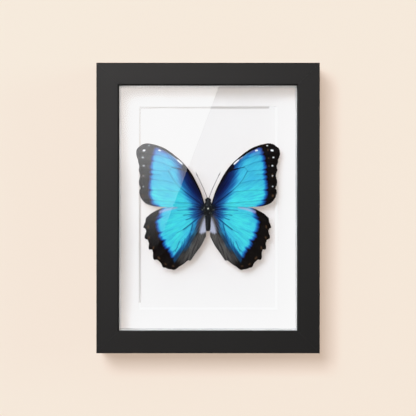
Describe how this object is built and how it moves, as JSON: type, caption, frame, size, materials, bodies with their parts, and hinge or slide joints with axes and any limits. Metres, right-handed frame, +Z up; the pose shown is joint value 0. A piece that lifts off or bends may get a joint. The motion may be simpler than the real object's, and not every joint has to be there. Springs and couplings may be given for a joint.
{
  "type": "framed butterfly specimen",
  "caption": "Black shadow-box picture frame with a glazed front and bevelled white mat, holding a spread blue butterfly on a pin.",
  "frame": {"origin": "on the bottom edge of the frame, midway across its width and its depth", "axes": "+Z up the picture, +Y from the front towards the wall, so the glazed front faces -Y; +X to the viewer's right"},
  "size_m": [0.163, 0.038, 0.212],
  "materials": {
    "black_paint": "satin black paint on wood",
    "clear_glass": "clear picture glass",
    "white_card": "matt white paper-faced board",
    "hardboard": "raw brown hardboard",
    "steel": "zinc-plated steel",
    "brass": "pale brass",
    "wing_scales": "iridescent blue wing scales with a black-brown margin",
    "dark_fur": "black-brown body hair"
  },
  "bodies": {
    "root": {"frame_rail_top": "black_paint", "frame_rail_bottom": "black_paint", "frame_rail_left": "black_paint", "frame_rail_right": "black_paint", "glass_pane": "clear_glass", "spacer_top": "white_card", "spacer_bottom": "white_card", "spacer_left": "white_card", "spacer_right": "white_card", "mat_board": "white_card", "backing_board": "white_card", "back_panel": "hardboard", "tab_top_1": "steel", "tab_top_2": "steel", "tab_bottom_1": "steel", "tab_bottom_2": "steel", "tab_left_1": "steel", "tab_left_2": "steel", "tab_right_1": "steel", "tab_right_2": "steel", "sawtooth_hanger": "steel", "hanger_nail_left": "steel", "hanger_nail_right": "steel", "insect_pin": "brass", "butterfly_body": "dark_fur", "forewing_left": "wing_scales", "forewing_right": "wing_scales", "hindwing_left": "wing_scales", "hindwing_right": "wing_scales", "antenna_left": "dark_fur", "antenna_right": "dark_fur"}
  },
  "joints": []
}
